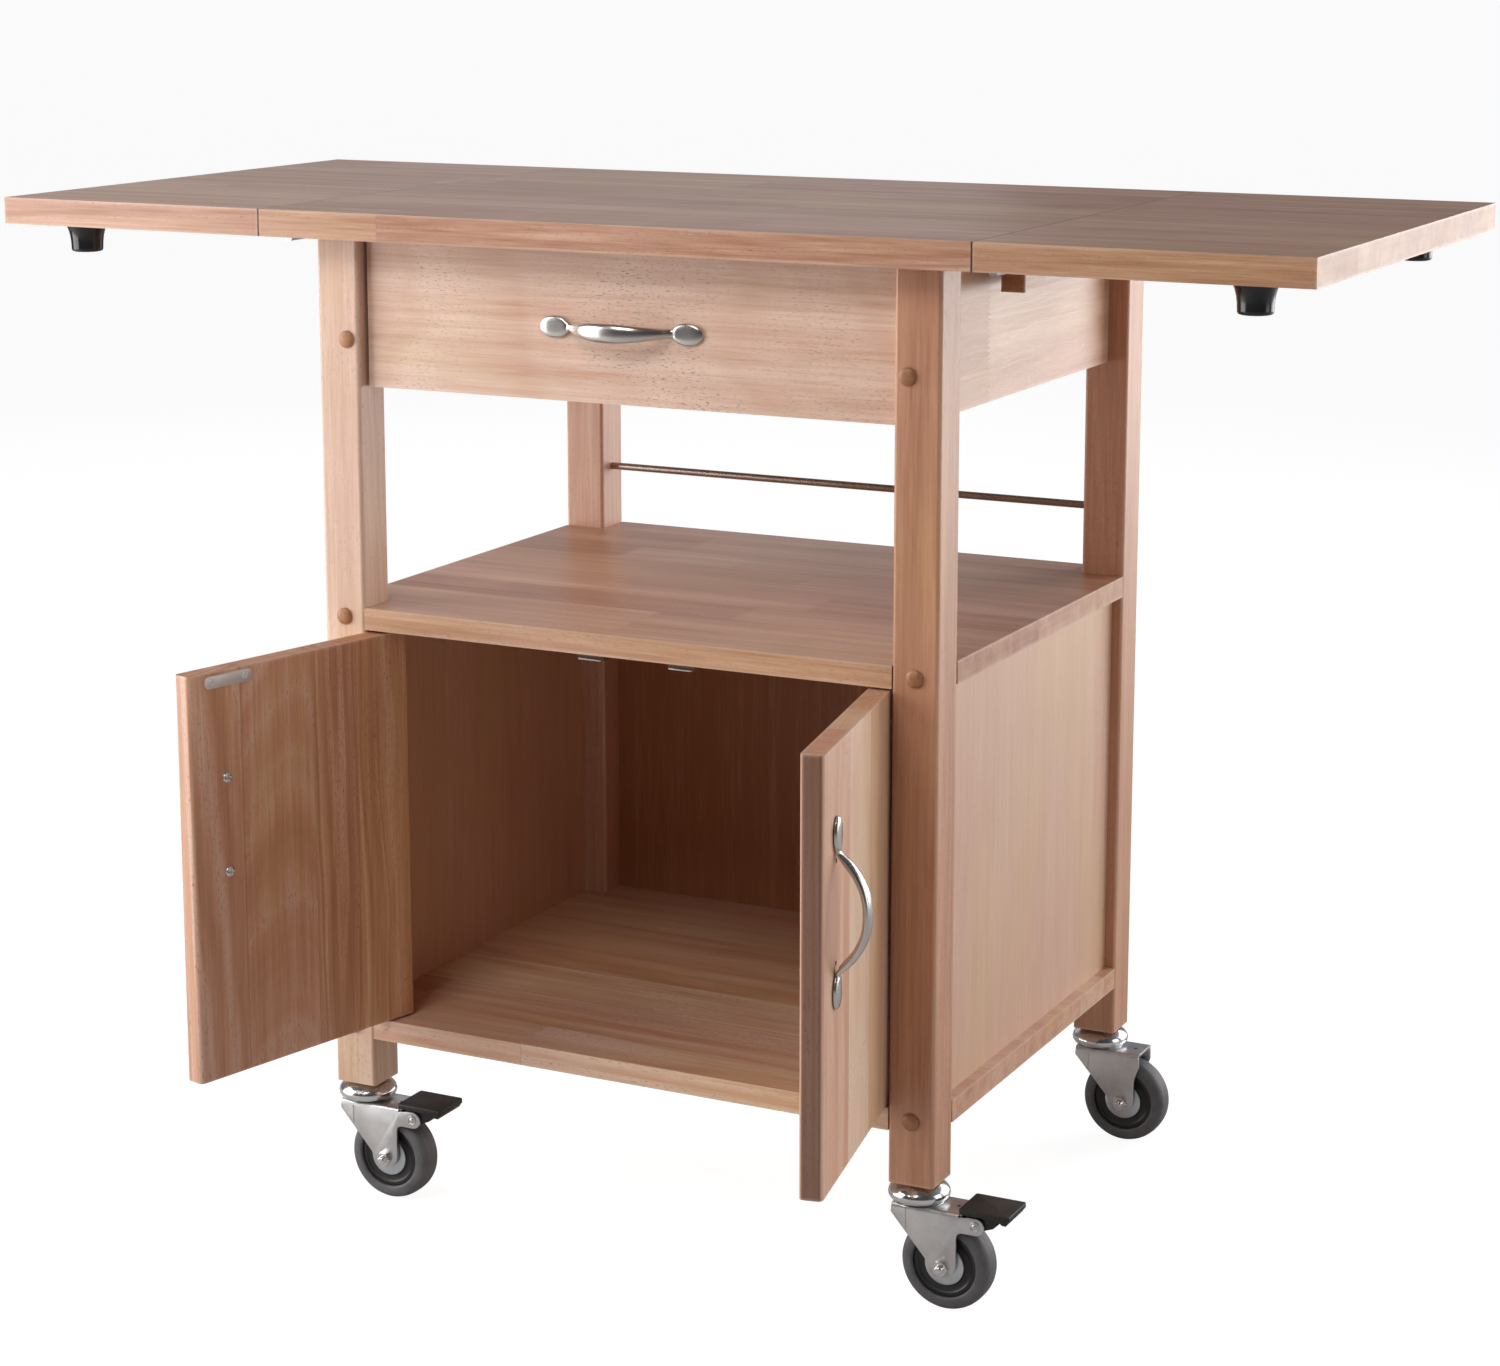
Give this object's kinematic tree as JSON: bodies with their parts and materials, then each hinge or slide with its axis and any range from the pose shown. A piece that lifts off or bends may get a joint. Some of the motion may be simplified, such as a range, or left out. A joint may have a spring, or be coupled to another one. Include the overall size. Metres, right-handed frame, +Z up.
{
  "type": "kitchen island cart",
  "caption": "Wooden kitchen cart on casters with drop leaves on swing-out supports, a drawer, an open bay and a cabinet with hinged doors.",
  "frame": {"origin": "on the floor under the middle of the base", "axes": "+X to the right along the worktop, +Y to the back, +Z up"},
  "size_m": [1.13, 0.6705, 0.838],
  "materials": {
    "beech": "satin lacquer over glued staves",
    "pale_panel": "satin veneer",
    "plug_wood": "satin lacquer",
    "brushed_nickel": "brushed",
    "zinc_plate": "bright zinc plating",
    "black_plastic": "moulded",
    "hub_plastic": "moulded",
    "grey_rubber": "moulded rubber"
  },
  "bodies": {
    "frame": {"tabletop": "beech", "leg_front_left": "beech", "leg_front_right": "beech", "leg_rear_left": "beech", "leg_rear_right": "beech", "side_aprons": "beech", "rear_apron": "beech", "middle_shelf": "beech", "bottom_shelf": "beech", "side_panels": "pale_panel", "back_panel": "pale_panel", "rear_rod": "brushed_nickel", "drawer_runners": "pale_panel", "wood_plugs": "plug_wood", "frame_bolts": "zinc_plate", "magnetic_catches": "black_plastic", "door_pivot_pins": "zinc_plate", "top_hinge_flaps": "zinc_plate", "support_pivot_bolts": "zinc_plate", "caster_housings": "zinc_plate"},
    "drawer": {"drawer_front": "beech", "drawer_sides": "pale_panel", "drawer_back": "pale_panel", "drawer_bottom": "pale_panel", "drawer_pull": "brushed_nickel", "drawer_pull_screws": "zinc_plate"},
    "left_leaf": {"leaf_left": "beech", "leaf_left_hinge_flaps": "zinc_plate", "leaf_left_bumpers": "black_plastic"},
    "right_leaf": {"leaf_right": "beech", "leaf_right_hinge_flaps": "zinc_plate", "leaf_right_bumpers": "black_plastic"},
    "left_support": {"support_left": "beech"},
    "right_support": {"support_right": "beech"},
    "left_door": {"door_left": "beech", "door_left_pull": "brushed_nickel", "door_left_pull_screws": "zinc_plate", "door_left_strike": "brushed_nickel"},
    "right_door": {"door_right": "beech", "door_right_pull": "brushed_nickel", "door_right_pull_screws": "zinc_plate", "door_right_strike": "brushed_nickel"},
    "front_left_caster": {"caster_front_left_fork": "zinc_plate", "caster_front_left_axle": "zinc_plate"},
    "front_left_wheel": {"caster_front_left_hub": "hub_plastic", "caster_front_left_tyre": "grey_rubber"},
    "front_left_brake": {"caster_front_left_pedal": "black_plastic"},
    "front_right_caster": {"caster_front_right_fork": "zinc_plate", "caster_front_right_axle": "zinc_plate"},
    "front_right_wheel": {"caster_front_right_hub": "hub_plastic", "caster_front_right_tyre": "grey_rubber"},
    "front_right_brake": {"caster_front_right_pedal": "black_plastic"},
    "rear_left_caster": {"caster_rear_left_fork": "zinc_plate", "caster_rear_left_axle": "zinc_plate"},
    "rear_left_wheel": {"caster_rear_left_hub": "hub_plastic", "caster_rear_left_tyre": "grey_rubber"},
    "rear_right_caster": {"caster_rear_right_fork": "zinc_plate", "caster_rear_right_axle": "zinc_plate"},
    "rear_right_wheel": {"caster_rear_right_hub": "hub_plastic", "caster_rear_right_tyre": "grey_rubber"}
  },
  "joints": [
    {"name": "left_leaf_fold", "type": "hinge", "parent": "frame", "child": "left_leaf", "pos_m": [-0.3093, 0, 0.812], "axis": [0, 1, 0], "range_deg": [-93.5, 0]},
    {"name": "right_leaf_fold", "type": "hinge", "parent": "frame", "child": "right_leaf", "pos_m": [0.3093, 0, 0.812], "axis": [0, -1, 0], "range_deg": [-93.5, 0]},
    {"name": "left_support_swing", "type": "hinge", "parent": "frame", "child": "left_support", "pos_m": [-0.2825, -0.085, 0.8], "axis": [0, 0, 1], "range_deg": [0, 100]},
    {"name": "right_support_swing", "type": "hinge", "parent": "frame", "child": "right_support", "pos_m": [0.2825, -0.085, 0.8], "axis": [0, 0, -1], "range_deg": [0, 100]},
    {"name": "drawer_slide", "type": "slide", "parent": "frame", "child": "drawer", "axis": [0, -1, 0], "range_m": [0, 0.27]},
    {"name": "left_door_hinge", "type": "hinge", "parent": "frame", "child": "left_door", "pos_m": [-0.222, -0.203, 0.3275], "axis": [0, 0, 1], "range_deg": [-1, 104]},
    {"name": "right_door_hinge", "type": "hinge", "parent": "frame", "child": "right_door", "pos_m": [0.222, -0.203, 0.3275], "axis": [0, 0, -1], "range_deg": [-4, 101]},
    {"name": "front_left_swivel", "type": "hinge", "parent": "frame", "child": "front_left_caster", "pos_m": [-0.255, -0.201, 0.083], "axis": [0, 0, 1], "continuous": true},
    {"name": "front_left_roll", "type": "hinge", "parent": "front_left_caster", "child": "front_left_wheel", "pos_m": [-0.229, -0.201, 0.0375], "axis": [0, 1, 0], "continuous": true},
    {"name": "front_left_brake_press", "type": "hinge", "parent": "front_left_caster", "child": "front_left_brake", "pos_m": [-0.2015, -0.201, 0.076], "axis": [0, 1, 0], "range_deg": [0, 14]},
    {"name": "front_right_swivel", "type": "hinge", "parent": "frame", "child": "front_right_caster", "pos_m": [0.255, -0.201, 0.083], "axis": [0, 0, 1], "continuous": true},
    {"name": "front_right_roll", "type": "hinge", "parent": "front_right_caster", "child": "front_right_wheel", "pos_m": [0.281, -0.201, 0.0375], "axis": [0, 1, 0], "continuous": true},
    {"name": "front_right_brake_press", "type": "hinge", "parent": "front_right_caster", "child": "front_right_brake", "pos_m": [0.3085, -0.201, 0.076], "axis": [0, 1, 0], "range_deg": [0, 14]},
    {"name": "rear_left_swivel", "type": "hinge", "parent": "frame", "child": "rear_left_caster", "pos_m": [-0.255, 0.201, 0.083], "axis": [0, 0, 1], "continuous": true},
    {"name": "rear_left_roll", "type": "hinge", "parent": "rear_left_caster", "child": "rear_left_wheel", "pos_m": [-0.229, 0.201, 0.0375], "axis": [0, 1, 0], "continuous": true},
    {"name": "rear_right_swivel", "type": "hinge", "parent": "frame", "child": "rear_right_caster", "pos_m": [0.255, 0.201, 0.083], "axis": [0, 0, 1], "continuous": true},
    {"name": "rear_right_roll", "type": "hinge", "parent": "rear_right_caster", "child": "rear_right_wheel", "pos_m": [0.281, 0.201, 0.0375], "axis": [0, 1, 0], "continuous": true}
  ]
}
